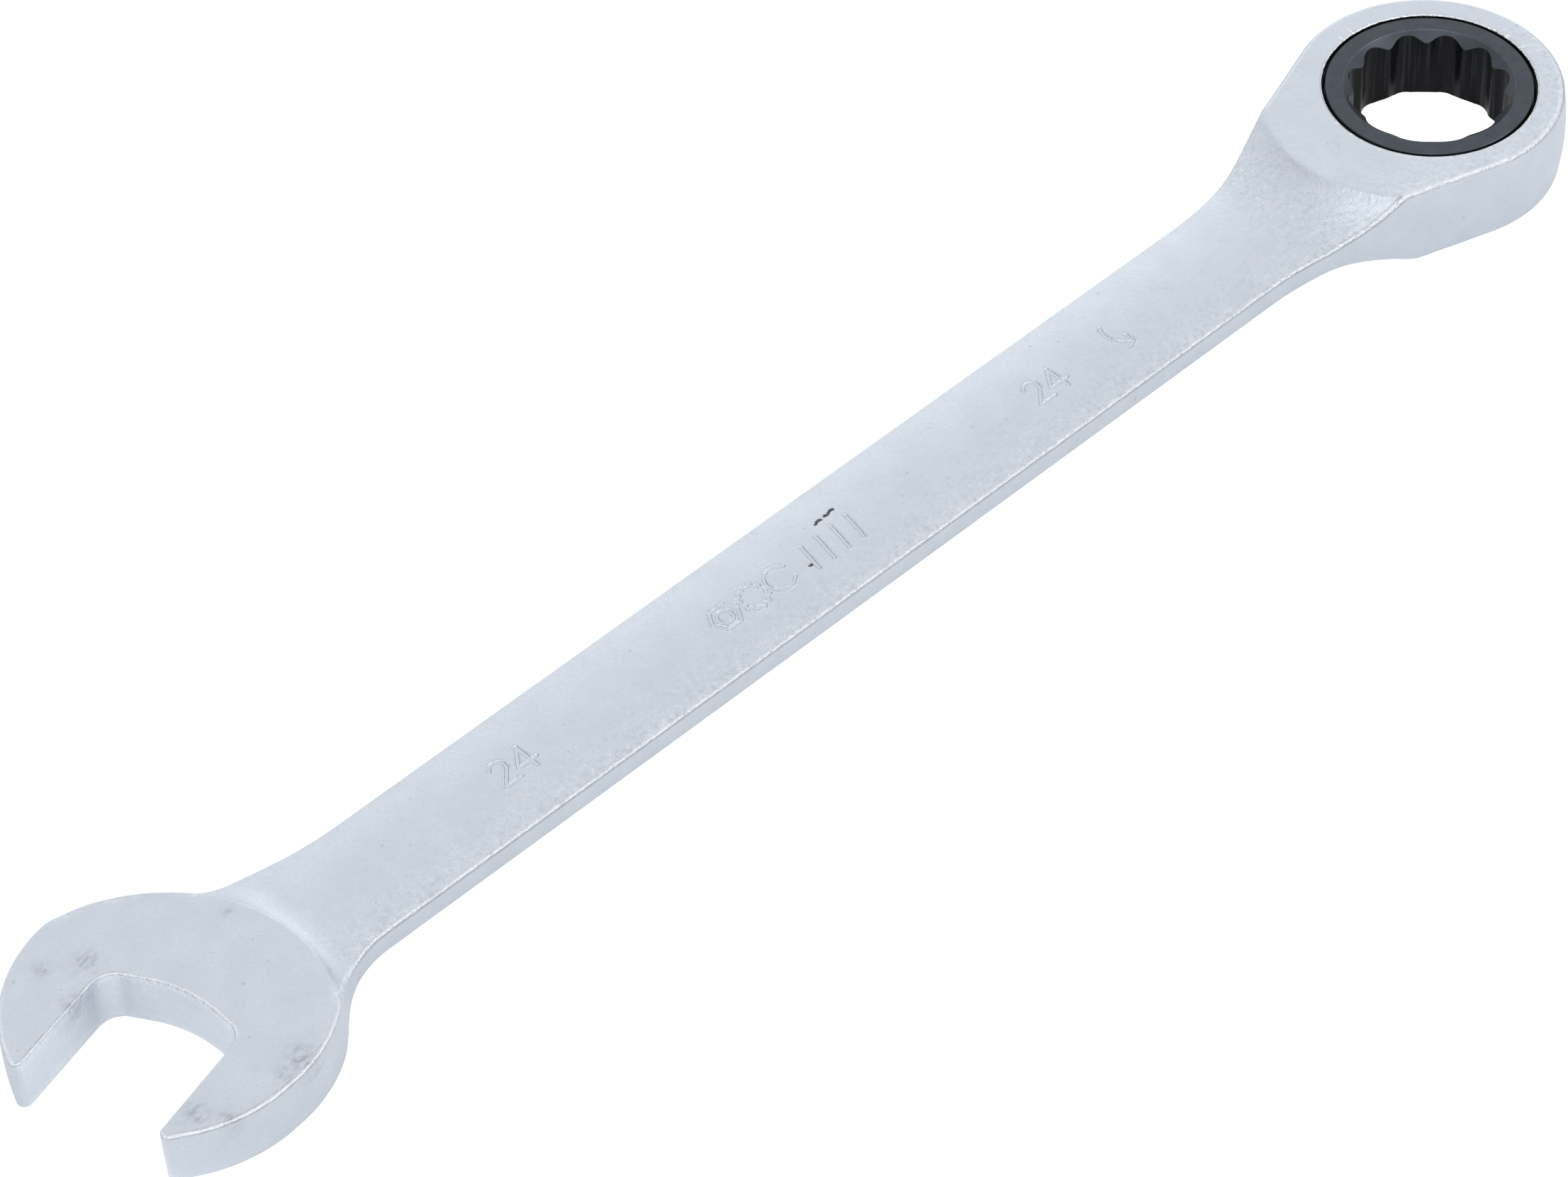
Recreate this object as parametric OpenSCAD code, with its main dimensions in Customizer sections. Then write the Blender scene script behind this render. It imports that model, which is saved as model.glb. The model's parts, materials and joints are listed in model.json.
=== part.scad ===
// Ratcheting combination wrench: an open jaw on one end and a ratcheting
// 12-point ring on the other, on one flat forged handle.
//
// Frame: the origin is on the ring's axis at mid thickness, +Z is the ring's
// axis, and the handle runs along -X to the jaw. All sizes are millimetres.

/* [Wrench] */
// Nut size across its flats
nut_size = 24; // [22:0.5:24]
// Free play between a nut and the jaw or the ring, across the flats
nut_play = 0.2; // [0.1:0.05:0.3]
// Distance between the ring's axis and the centre of the jaw
reach = 270; // [220:5:330]

/* [Handle] */
// Width of the handle
handle_w = 21.3; // [19:0.1:22]
// Thickness of the handle along its crowned middle
handle_t = 6.8; // [6:0.1:7.5]
// Thickness of the handle at its side edges
handle_edge_t = 4; // [3.8:0.1:4.6]

/* [Ring head] */
// Outer diameter of the ring head
ring_d = 46.4; // [45.6:0.1:47]
// Thickness of the ring head
ring_t = 15; // [14.6:0.1:16]
// Angle at which each side of the neck narrows towards the handle
neck_taper = 18.8; // [16:0.2:22]
// Radius that blends each side of the neck into the handle
neck_blend_r = 62; // [40:2:66]
// Distance from the ring's axis to where the flat faces start to slope
ring_flat_r = 28.2; // [27.5:0.1:29]
// Radius of the hollow slope between the ring's faces and the handle
ring_slope_r = 18; // [16:0.5:20]

/* [Jaw head] */
// Angle between the jaw and the handle
jaw_angle = 15; // [10:1:20]
// Diameter of the jaw head
jaw_d = 49; // [48.5:0.1:49.5]
// Thickness of the jaw head
jaw_t = 9.8; // [8.8:0.1:10]
// Reach of each jaw tip past the centre of the jaw
jaw_tip = 20.6; // [19.5:0.1:21]

/* [Ratchet] */
// Diameter of the drive ring's visible flange
flange_d = 35.6; // [35.4:0.1:35.8]
// Number of ratchet teeth
teeth = 72; // [72:12:72]
// Height of each ratchet tooth
tooth_h = 0.65; // [0.5:0.05:0.7]
// Travel of the pawl out of the teeth
pawl_travel = 0.75; // [0.7:0.05:0.8]
// Turn of the 12-point opening at rest
drive_turn = -2; // [-15:1:15]

/* [Hidden] */

$fn = 96;
over = 1;                    // how far a cutter runs past what it cuts
arc_step = 6;                // degrees between points on a drawn arc

// Handle section: a shallow crown on each face.
half_w = handle_w / 2;
edge_z = handle_edge_t / 2;
crown_rise = (handle_t - handle_edge_t) / 2;
crown_r = (half_w ^ 2 + crown_rise ^ 2) / (2 * crown_rise);
neck_flare = 0.35;           // extra width of the handle's near side where it meets the neck

ring_centre = [-0.3, 0];     // the head's rim stands off the bore's axis

// Jaw head, in the jaw's own directions: u out of the jaw, v across it.
jaw_centre = [-reach, 0];
jaw_heading = 180 + jaw_angle;
jaw_half_gap = (nut_size + nut_play) / 2;
jaw_rim_centre = [0.8, -0.4];    // the rim's centre stands off the jaw's centre
far_rim_shift = [-0.2, 0.5];     // and each side of the rim a little more
near_rim_shift = [0.3, 0];
jaw_flat_centre = [-8.3, -3.3];  // centre of the arc that ends the flat faces
jaw_flat_r = 28;
jaw_slope_r = 6;

// Drive ring, from the top face down.
running_gap = 0.07;          // radial clearance of the ring in the head
gear_top = ring_t / 2 - 0.1; // the ring sits just below the upper face
gear_bottom = -5.9;          // and further inside the lower one
flange_r = flange_d / 2;
flange_bottom = 3.7;
rim_r = 17.3;                // narrower top of the flange, inside the retaining ring
tooth_tip_r = flange_r - 0.7;
tooth_root_r = tooth_tip_r - tooth_h;
teeth_bottom = -4.7;
journal_r = 15.5;            // lower bearing of the drive ring
lip_top = teeth_bottom - 0.1;
top_lead_in_r = 14.35;       // mouths of the 12-point opening
bottom_lead_in_r = 13.6;
lead_in_slope = 1.3;         // growth of the lead-in's radius for each mm of height
lead_in_h = 3;               // tall enough to run out inside the opening
bore_chamfer = 0.35;

// Flanks of the 12-point opening bear beside a nut's corners and clear the corners.
hump_corner_r = nut_size / 2 / cos(15) - 0.12;
hump_round_r = 1.2;
notch_corner_r = nut_size / 2 / cos(30) + 0.9;
notch_round_r = 3;

// Pawl and its pocket in the neck.
pocket_w = 13.2;
pocket_back = 24.5;
pocket_top = flange_bottom - 0.05;
pawl_w = pocket_w - 0.2;
pawl_back = pocket_back - pawl_travel - 0.15;
pawl_top = pocket_top - 0.1;
pawl_z = (teeth_bottom + pawl_top) / 2;
mesh_gap = 0.06;             // clearance between the pawl's teeth and the ring's

// Spring behind the pawl.
spring_r = 1.05;             // centreline radius of the coil
spring_wire_r = 0.2;
spring_coils = 6;
spring_hole_r = 1.4;
spring_front = 21;
spring_back = 31;
spring_end_gap = 0.05;

// Retaining ring, held in the head's groove above the drive ring's flange.
clip_z = 5.7;
clip_wire_r = 0.5;
clip_r = flange_r + 0.15;
clip_gap_angle = 30;
groove_half = clip_wire_r + 0.06;
head_groove_r = clip_r + clip_wire_r + 0.05;

function unit(v) = v / norm(v);
function polar(r, a) = r * [cos(a), sin(a)];

// Points on an arc about centre c.
function arc(c, r, a0, a1) =
    let (n = ceil(abs(a1 - a0) / arc_step))
    [for (i = [0:n]) c + polar(r, a0 + (a1 - a0) * i / n)];

// The arc of radius r that rounds the corner b of the path a, b, c.
function corner(a, b, c, r) =
    let (u = unit(a - b), v = unit(c - b), half = acos(u * v) / 2)
    let (centre = b + unit(u + v) * r / sin(half))
    let (s = b + u * r / tan(half) - centre, e = b + v * r / tan(half) - centre)
    let (a0 = atan2(s[1], s[0]), turn = atan2(e[1], e[0]) - a0)
    arc(centre, r, a0, a0 + turn - 360 * round(turn / 360));

// The same points without any that repeats the one before it.
function distinct(points) =
    [for (i = [0:len(points) - 1])
        if (i == 0 || norm(points[i] - points[i - 1]) > 0.001) points[i]];

// A closed outline from [point, radius] pairs, with every corner rounded.
function rounded(path) =
    let (n = len(path))
    distinct([for (i = [0:n - 1])
        each corner(path[(i + n - 1) % n][0], path[i][0], path[(i + 1) % n][0], path[i][1])]);

// The corners of a path that, when rounded to r, follow a circle from a0 to a1.
function rim(c, r, a0, a1, n) =
    let (step = (a1 - a0) / n)
    [for (i = [0:n - 1]) [c + polar(r / cos(step / 2), a0 + step * (i + 0.5)), r]];

// A point given in the jaw's directions.
function in_jaw(u, v) = jaw_centre + polar(u, jaw_heading) + polar(v, jaw_heading + 90);

// Where the neck's straight side meets the edge of a handle with the half width w.
function neck_x(w) = ring_centre[0] - (ring_d / 2 - w * cos(neck_taper)) / sin(neck_taper);

function ring_outline() = rim(ring_centre, ring_d / 2, -90 - neck_taper, 90 + neck_taper, 3);

// Jaw side that faces away from the opening's lean, from the handle to the rim.
far_shoulder = [
    [jaw_centre + [31.9, half_w], 60],
    [jaw_centre + [14.1, 14.7], 8],
    [jaw_centre + [3.4, 25], 9]
];

function jaw_outline() =
    let (c = in_jaw(jaw_rim_centre[0], jaw_rim_centre[1]), r = jaw_d / 2, g = jaw_half_gap)
    concat(
        far_shoulder,
        rim(c + far_rim_shift, r, 90, 158, 1),
        [
            [in_jaw(jaw_tip + 1.7, -g - 1), 1.2],
            [in_jaw(jaw_tip, -g), 1],
            [in_jaw(1.2, -g), 4],
            [in_jaw(-2.4, 0), 22],
            [in_jaw(0.9, g), 3.2],
            [in_jaw(jaw_tip, g), 1],
            [in_jaw(jaw_tip + 1.7, g + 1), 1.2]
        ],
        rim(c + near_rim_shift, r, 233, 318, 2),
        [[jaw_centre + [23.3, -half_w], 17]]
    );

module plan() {
    near_w = half_w + neck_flare;
    polygon(rounded(concat(
        ring_outline(),
        [[[neck_x(half_w), half_w], neck_blend_r]],
        jaw_outline(),
        [[[neck_x(near_w), -near_w], neck_blend_r]]
    )));
}

// Handle section across the handle: crowned between its edges, flat outside.
module handle_section() {
    square([4 * half_w + handle_w, handle_edge_t], center = true);
    intersection() {
        translate([0, handle_t / 2 - crown_r]) circle(crown_r, $fn = 360);
        translate([0, crown_r - handle_t / 2]) circle(crown_r, $fn = 360);
        square([handle_w, 2 * handle_t], center = true);
    }
}

// A round head with flat faces that slope down, hollow, to the handle's edge.
module head_blank(t, flat_r, slope_r) {
    drop = t / 2 - edge_z;
    foot_r = flat_r + sqrt(slope_r ^ 2 - (slope_r - drop) ^ 2);
    rotate_extrude() difference() {
        translate([0, -t / 2]) square([foot_r, t]);
        for (side = [-1, 1])
            translate([foot_r, side * (edge_z + slope_r)]) circle(slope_r, $fn = 180);
    }
}

module forging() {
    intersection() {
        linear_extrude(2 * ring_t, center = true) plan();
        union() {
            translate([-reach, 0, 0]) rotate([90, 0, 90])
                linear_extrude(reach) handle_section();
            head_blank(ring_t, ring_flat_r, ring_slope_r);
            translate([each jaw_centre + jaw_flat_centre, 0])
                head_blank(jaw_t, jaw_flat_r, jaw_slope_r);
        }
    }
}

// Stepped bore for the drive ring, open at both faces.
module gear_bore() {
    translate([0, 0, lip_top]) cylinder(r = flange_r + running_gap, h = ring_t);
    translate([0, 0, -ring_t / 2 - over]) cylinder(r = journal_r + running_gap, h = ring_t);
    translate([0, 0, ring_t / 2 - bore_chamfer])
        cylinder(r1 = flange_r + running_gap, r2 = flange_r + running_gap + 2 * bore_chamfer,
                 h = 2 * bore_chamfer);
    translate([0, 0, clip_z - groove_half]) cylinder(r = head_groove_r, h = 2 * groove_half);
}

// A cylinder along -X, from x = -from to x = -to.
module drilling(r, from, to, z) {
    translate([-to, 0, z]) rotate([0, 90, 0]) cylinder(r = r, h = to - from);
}

module pawl_pocket() {
    translate([-pocket_back, -pocket_w / 2, lip_top])
        cube([pocket_back - journal_r, pocket_w, pocket_top - lip_top]);
    drilling(spring_hole_r, pocket_back - over, spring_back, pawl_z);
}

module wrench_body() {
    color("gainsboro") difference() {
        forging();
        gear_bore();
        pawl_pocket();
    }
}

// Ratchet tooth outline, with a short flat on each tip and in each root.
module tooth_outline(extra) {
    pitch = 360 / teeth;
    flat_half = pitch * 0.06;
    polygon([for (i = [0:teeth - 1], k = [0:3])
        let (root = k < 2, side = k % 2 == 0 ? -1 : 1)
        polar((root ? tooth_root_r : tooth_tip_r) + extra,
              (i + (root ? 0 : 0.5)) * pitch + side * flat_half)]);
}

// The 12-point opening: twelve round notches with a soft hump between each two.
module twelve_point() {
    rotate(drive_turn) polygon(rounded([for (i = [0:11]) each [
        [polar(notch_corner_r, i * 30), notch_round_r],
        [polar(hump_corner_r, i * 30 + 15), hump_round_r]
    ]]));
}

// A cone that opens upwards to the radius r at height z.
module lead_in(r, z) {
    translate([0, 0, z - lead_in_h])
        cylinder(r1 = r - lead_in_slope * lead_in_h, r2 = r + lead_in_slope * over,
                 h = lead_in_h + over);
}

module ratchet_gear() {
    color("dimgray") difference() {
        union() {
            translate([0, 0, flange_bottom]) cylinder(r = rim_r, h = gear_top - flange_bottom);
            translate([0, 0, flange_bottom])
                cylinder(r = flange_r, h = clip_z - groove_half - flange_bottom);
            translate([0, 0, teeth_bottom])
                linear_extrude(flange_bottom - teeth_bottom) tooth_outline(0);
            translate([0, 0, gear_bottom]) cylinder(r = journal_r, h = teeth_bottom - gear_bottom);
        }
        linear_extrude(2 * ring_t, center = true) twelve_point();
        lead_in(top_lead_in_r, gear_top);
        mirror([0, 0, 1]) lead_in(bottom_lead_in_r, -gear_bottom);
    }
}

module pawl() {
    color("slategray") difference() {
        translate([-pawl_back, -pawl_w / 2, teeth_bottom])
            cube([pawl_back - journal_r, pawl_w, pawl_top - teeth_bottom]);
        translate([0, 0, teeth_bottom - over])
            linear_extrude(ring_t) tooth_outline(mesh_gap);
        drilling(spring_hole_r, spring_front, pawl_back + over, pawl_z);
    }
}

// A coil of round wire along -X, between the pawl and the end of its hole.
module pawl_spring() {
    sides = 8;
    per_coil = 20;
    steps = spring_coils * per_coil;
    start = spring_front + spring_end_gap + spring_wire_r;
    rise = spring_back - spring_end_gap - spring_wire_r - start;
    points = [for (i = [0:steps], k = [0:sides - 1])
        let (turn = 360 * i / per_coil, r = spring_r + spring_wire_r * cos(360 * k / sides))
        [-start - rise * i / steps - spring_wire_r * sin(360 * k / sides),
         r * cos(turn), r * sin(turn) + pawl_z]];
    function at(i, k) = i * sides + k % sides;
    color("silver") polyhedron(points, concat(
        [[for (k = [0:sides - 1]) k]],
        [for (i = [0:steps - 1], k = [0:sides - 1]) [at(i, k), at(i + 1, k), at(i + 1, k + 1)]],
        [for (i = [0:steps - 1], k = [0:sides - 1]) [at(i, k), at(i + 1, k + 1), at(i, k + 1)]],
        [[for (k = [sides - 1:-1:0]) at(steps, k)]]
    ));
}

module retaining_ring() {
    color("darkgray") rotate(clip_gap_angle / 2) rotate_extrude(angle = 360 - clip_gap_angle)
        translate([clip_r, clip_z]) circle(clip_wire_r, $fn = 32);
}

wrench_body();
ratchet_gear();
pawl();
pawl_spring();
retaining_ring();
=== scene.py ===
"""Looks for a ratcheting combination wrench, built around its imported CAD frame.

Shapes are worked out in millimetres in the CAD frame and become metres in Shell.piece(): the
origin is on the ring's axis, the handle runs along -X to the jaw, and +Z is the marked face.
A point of a plan view is one complex number, x + yj.
"""

import json
import math

import bmesh
import bpy
import numpy as np
from mathutils import Matrix, Vector, noise
from mathutils.geometry import delaunay_2d_cdt


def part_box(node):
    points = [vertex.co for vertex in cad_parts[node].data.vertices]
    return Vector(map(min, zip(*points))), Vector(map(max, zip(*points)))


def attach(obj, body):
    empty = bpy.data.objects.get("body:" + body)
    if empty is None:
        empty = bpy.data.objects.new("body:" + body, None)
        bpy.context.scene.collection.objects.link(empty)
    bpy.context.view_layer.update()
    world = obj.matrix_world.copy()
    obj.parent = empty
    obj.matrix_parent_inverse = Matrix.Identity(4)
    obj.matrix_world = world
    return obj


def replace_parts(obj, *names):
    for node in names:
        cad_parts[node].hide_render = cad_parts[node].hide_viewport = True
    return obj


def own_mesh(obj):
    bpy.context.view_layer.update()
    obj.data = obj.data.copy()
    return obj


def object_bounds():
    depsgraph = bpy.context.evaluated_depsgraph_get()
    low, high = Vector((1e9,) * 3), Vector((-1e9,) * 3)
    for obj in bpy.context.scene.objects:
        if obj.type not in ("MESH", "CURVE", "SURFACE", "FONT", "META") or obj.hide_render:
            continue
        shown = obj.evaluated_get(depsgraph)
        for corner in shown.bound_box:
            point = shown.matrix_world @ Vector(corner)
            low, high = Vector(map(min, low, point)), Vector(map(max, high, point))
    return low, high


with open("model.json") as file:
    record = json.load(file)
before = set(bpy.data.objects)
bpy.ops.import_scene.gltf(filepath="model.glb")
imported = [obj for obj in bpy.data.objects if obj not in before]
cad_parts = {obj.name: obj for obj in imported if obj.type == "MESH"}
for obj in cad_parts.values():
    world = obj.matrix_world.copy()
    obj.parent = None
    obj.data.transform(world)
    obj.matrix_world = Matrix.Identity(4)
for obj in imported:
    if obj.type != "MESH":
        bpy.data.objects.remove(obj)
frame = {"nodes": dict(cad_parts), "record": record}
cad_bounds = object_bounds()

MM = 0.001

MOUNTS = {mount["name"]: mount for mount in frame["record"]["mounts"]}


def mm_box(node):
    """Lowest and highest corner of a CAD node, in millimetres."""
    low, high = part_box(node)
    return low / MM, high / MM


# ---- Wrench body ----

HANDLE_HALF_W = 10.65
EDGE_Z = 2.0                 # half thickness at the handle's side edges
CROWN_RISE = 1.4             # how much thicker each face is along its middle

RING_TOP = mm_box("wrench_body")[1].z
RING_CENTRE = -0.3           # the head's rim stands off the bore's axis
RING_R = 23.2
NECK_TAPER = 18.8            # degrees between each side of the neck and the handle
NECK_BLEND_R = 62
NECK_FLARE = 0.35            # extra width of the handle's near side where it meets the neck
RING_FLAT_CENTRE = -4.15     # the arc that ends the flat face is centred on this x
RING_FLAT_R = 25.15
RING_SLOPE_R = 18
UNDER_FLAT_CUT = 1.5         # how much sooner the ring's lower flat face ends

JAW = complex(*MOUNTS["jaw_opening"]["pos_m"][:2]) / MM
JAW_OUT = complex(*MOUNTS["jaw_opening"]["axis"][:2])
JAW_TOP = 4.9
JAW_R = 24.5
JAW_TIP = 20.6
JAW_HALF_GAP = 12.1
JAW_RIM_OFFSET = 0.8 - 0.4j  # from the jaw's centre, in the jaw's own directions
FAR_RIM_SHIFT = -0.2 + 0.5j  # and each side of the rim a little more
NEAR_RIM_SHIFT = 0.3
JAW_FLAT_OFFSET = -8.3 - 3.3j
JAW_FLAT_R = 28
JAW_SLOPE_R = 6
JAW_END_X = JAW.real + 22    # up to here the sides and edges are the jaw's
RING_END_X = -26             # and from here on the ring head's

# Rounding of the top and bottom edges, and how far the side walls bulge.
RING_EDGE, HANDLE_EDGE, JAW_EDGE, MACHINED_EDGE = 0.9, 0.45, 0.5, 0.25
RING_BULGE, HANDLE_BULGE, JAW_BULGE = 0.5, 0.08, 0.15
FLAT_EDGE_BLEND = 0.05       # softening where a flat face meets its slope
WAVE, WAVE_LENGTH = 0.02, 14 # unevenness of the hand-finished faces

# ---- Drive ring and what holds it ----

GEAR_BOTTOM, GEAR_TOP = (corner.z for corner in mm_box("ratchet_gear"))
FLANGE_R = mm_box("ratchet_gear")[1].x
RIM_R = 17.3                 # narrower top of the flange, inside the retaining ring
FLANGE_BOTTOM = 3.7
TEETH = 72
TOOTH_TIP_R = FLANGE_R - 0.7
TOOTH_ROOT_R = TOOTH_TIP_R - 0.65
TEETH_BOTTOM = -4.7
JOURNAL_R = 15.5
TOP_LEAD_IN_R, BOTTOM_LEAD_IN_R = 14.35, 13.6
LEAD_IN_SLOPE = 1.3          # growth of the lead-in's radius for each mm of height
DRIVE_TURN = -2
NOTCH_CORNER_R, NOTCH_ROUND_R = 14.75, 3
HUMP_CORNER_R, HUMP_ROUND_R = 12.3, 1.2
RUNNING_GAP = 0.07
BORE_CHAMFER = 0.35
CLIP_Z = (mm_box("retaining_ring")[0].z + mm_box("retaining_ring")[1].z) / 2
GROOVE_HALF = 0.56
HEAD_GROOVE_R = 18.5
LIP_TOP = TEETH_BOTTOM - 0.1
POCKET_HALF_W = 6.6
POCKET_BACK = 24.5
POCKET_TOP = 3.65
PAWL_Z = (TEETH_BOTTOM + 3.55) / 2
SPRING_HOLE_R = 1.4
SPRING_R = 1.05
SPRING_WIRE_R = 0.2
SPRING_COILS = 7
SPRING_FRONT = -mm_box("pawl_spring")[1].x
SPRING_BACK = -mm_box("pawl_spring")[0].x

# ---- Mesh density ----

ARC_TURN = math.radians(6)
ARC_LENGTH = 0.6
LINE_LENGTH = 0.8
GRID, SLOPE_GRID, MARK_GRID = 0.85, 0.45, 0.12
SLOPE_MARGIN = 1.5           # the fine grid of a slope starts this far inside the flat face
RING_SLOPE_RUN, JAW_SLOPE_RUN = 13, 6.5
CREASE_ROW = 0.2             # between the rows of points along the edge of a flat face
EDGE_ROW = 0.3               # from a rounded edge to the row of points that follows it
BORE_SEGMENTS = 288
SMOOTH_BELOW = 34            # degrees between faces that are still shaded as one surface
COLUMNS_PER_TOOTH = 12


# ---- Plan-view outlines ----

def polar(r, degrees):
    """Points at a radius and at angles from +X."""
    return r * np.exp(1j * np.radians(degrees))


def arc(centre, r, start, turn):
    """Points along an arc, from the start angle through a turn, in radians."""
    steps = max(2, math.ceil(abs(turn) / ARC_TURN), math.ceil(abs(turn) * r / ARC_LENGTH))
    return centre + r * np.exp(1j * (start + turn * np.linspace(0, 1, steps + 1)))


def corner(a, b, c, r):
    """The arc of radius r that rounds the corner b of the path a, b, c."""
    u, v = (a - b) / abs(a - b), (c - b) / abs(c - b)
    half = math.acos((u * v.conjugate()).real) / 2
    centre = b + (u + v) / abs(u + v) * r / math.sin(half)
    start = b + u * r / math.tan(half) - centre
    end = b + v * r / math.tan(half) - centre
    return arc(centre, r, np.angle(start), np.angle(end / start))


def rounded(path):
    """A closed, dense outline from (point, radius) pairs, with every corner rounded."""
    arcs = [corner(path[i - 1][0], b, path[(i + 1) % len(path)][0], r)
            for i, (b, r) in enumerate(path)]
    points = []
    for i, here in enumerate(arcs):
        gap = arcs[(i + 1) % len(arcs)][0] - here[-1]
        steps = max(1, math.ceil(abs(gap) / LINE_LENGTH))
        points += [*here, *(here[-1] + gap * np.arange(1, steps) / steps)]
    points = np.array(points)
    return points[abs(points - np.roll(points, 1)) > 0.01]


def rim(centre, r, start, end, count):
    """Path corners that follow a circle from start to end degrees once they are rounded."""
    step = (end - start) / count
    middles = start + step * (np.arange(count) + 0.5)
    return [(centre + polar(r / math.cos(math.radians(step / 2)), a), r) for a in middles]


def in_jaw(u, v):
    """A point given in the jaw's own directions: u out of the jaw, v across it."""
    return JAW + (u + 1j * v) * JAW_OUT


def wrench_outline():
    taper = math.radians(NECK_TAPER)
    near_w = HANDLE_HALF_W + NECK_FLARE

    def neck_x(half_w):
        return RING_CENTRE - (RING_R - half_w * math.cos(taper)) / math.sin(taper)

    rim_centre = in_jaw(JAW_RIM_OFFSET.real, JAW_RIM_OFFSET.imag)
    ring = rim(RING_CENTRE, RING_R, -90 - NECK_TAPER, 90 + NECK_TAPER, 3)
    far_neck = [(neck_x(HANDLE_HALF_W) + 1j * HANDLE_HALF_W, NECK_BLEND_R)]
    near_neck = [(neck_x(near_w) - 1j * near_w, NECK_BLEND_R)]
    far_shoulder = [
        (JAW + 31.9 + 1j * HANDLE_HALF_W, 60),
        (JAW + 14.1 + 14.7j, 8),
        (JAW + 3.4 + 25.0j, 9),
    ]
    opening = [
        (in_jaw(JAW_TIP + 1.7, -JAW_HALF_GAP - 1), 1.2),
        (in_jaw(JAW_TIP, -JAW_HALF_GAP), 1),
        (in_jaw(1.2, -JAW_HALF_GAP), 4),
        (in_jaw(-2.4, 0), 22),
        (in_jaw(0.9, JAW_HALF_GAP), 3.2),
        (in_jaw(JAW_TIP, JAW_HALF_GAP), 1),
        (in_jaw(JAW_TIP + 1.7, JAW_HALF_GAP + 1), 1.2),
    ]
    far_rim = rim(rim_centre + FAR_RIM_SHIFT, JAW_R, 90, 158, 1)
    near_rim = rim(rim_centre + NEAR_RIM_SHIFT, JAW_R, 233, 318, 2)
    near_shoulder = [(JAW + 23.3 - 1j * HANDLE_HALF_W, 17)]
    return rounded(ring + far_neck + far_shoulder + far_rim + opening + near_rim
                   + near_shoulder + near_neck)


def inward(outline):
    """Unit vectors that point into a closed outline drawn anticlockwise."""
    ahead = np.roll(outline, -1) - outline
    ahead /= abs(ahead)
    along = ahead + np.roll(ahead, 1)
    return 1j * along / abs(along)


def segment_distance(points, starts, ends):
    """Distance from each point to the nearest of the segments."""
    spans = ends - starts
    nearest = np.full(len(points), np.inf)
    for first in range(0, len(points), 2000):
        away = points[first:first + 2000, None] - starts
        share = np.clip((away * spans.conjugate()).real / abs(spans) ** 2, 0, 1)
        nearest[first:first + 2000] = abs(away - share * spans).min(axis=1)
    return nearest


def stroke_distance(points, strokes):
    """Distance from each point to the nearest of the strokes, each a row of points."""
    starts = np.concatenate([s[:-1] for s in strokes])
    ends = np.concatenate([s[1:] for s in strokes])
    return segment_distance(points, starts, ends)


# ---- Marks pressed into the upper face ----

MARK_FLAT_W, MARK_HALF_W = 0.28, 0.52  # from a stroke's middle to the foot and top of its wall
MARK_DEPTH = 0.17
MARK_REACH = 0.75            # how far the fine mesh runs past the middle of a stroke
DING_HALF_W = 0.36
DING_DEPTH = 0.14


def closed(points):
    """The stroke that goes round the points and back to the first."""
    return np.append(points, points[0])


def numeral_24():
    hook = 1.15j + polar(1.35, np.linspace(165, -38, 14))
    two = np.append(hook, [-1.5 - 2.5j, 1.65 - 2.5j])
    four = np.array([0.75 - 2.5j, 0.75 + 2.5j, -1.8 - 1.05j, 1.8 - 1.05j])
    return [two - 2.05, four + 2.0]


def drive_arrow():
    """The curved arrow that shows which way the ring drives."""
    shaft = 3.6 + polar(3.65, np.linspace(142, 246, 12))
    tip = shaft[-1] + 0.5 * polar(1, -22)
    head = np.array([tip + polar(1.7, 92), tip, tip + polar(1.7, 205)])
    return [shaft, head]


def nut_sign():
    return [closed(polar(2.6, np.arange(0, 360, 60))), closed(polar(1.3, np.arange(0, 360, 20)))]


def twelve_point_sign():
    radii = np.where(np.arange(24) % 2 == 0, 2.7, 2.15)
    return [closed(radii * np.exp(1j * np.radians(np.arange(24) * 15)))]


def open_end_sign():
    return [np.array([2.2 + 1.4j, *polar(2.4, np.linspace(62, 298, 16)), 2.2 - 1.4j]) - 0.2]


def grade_bars():
    return [np.array([x - 0.5 - 2.6j, x + 0.5 + 2.6j]) for x in (-4.8, -1.6, 1.6, 4.8)]


MARKS = [
    (-205.8 - 0.45j, numeral_24()),
    (-162.9 - 1.1j, nut_sign()),
    (-157.0 - 1.1j, twelve_point_sign()),
    (-151.3 - 1.1j, open_end_sign()),
    (-140.3 - 1.4j, grade_bars()),
    (-92.75 - 1.05j, numeral_24()),
    (-78.0 - 0.3j, drive_arrow()),
]
MARK_STROKES = [centre + stroke for centre, strokes in MARKS for stroke in strokes]
DINGS = [
    np.array([-139.6 + 3.2j, -138.9 + 3.5j, -138.2 + 3.4j]),
    np.array([-137.4 + 3.5j, -136.7 + 3.4j, -136.0 + 3.8j, -135.4 + 3.7j]),
    np.array([-146.3 - 2.6j, -146.1 - 2.7j]),
]

SMUDGES = [                  # centre and size of the dark smears on the jaw
    (-275.0 + 14.5j, 2.0), (-280.4 + 18.1j, 1.3), (-280.8 + 9.9j, 1.6), (-264.6 - 21.5j, 2.4),
    (-267.9 - 22.1j, 1.2), (-281.5 - 18.2j, 2.0), (-278.5 - 21.8j, 1.3), (-254.5 + 7.2j, 0.8),
]


def mark_zone(points):
    """Which points are on the stretch of the handle that holds the marks and dings."""
    return (points.real > -215) & (points.real < -70) & (abs(points.imag) < 7)


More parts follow.
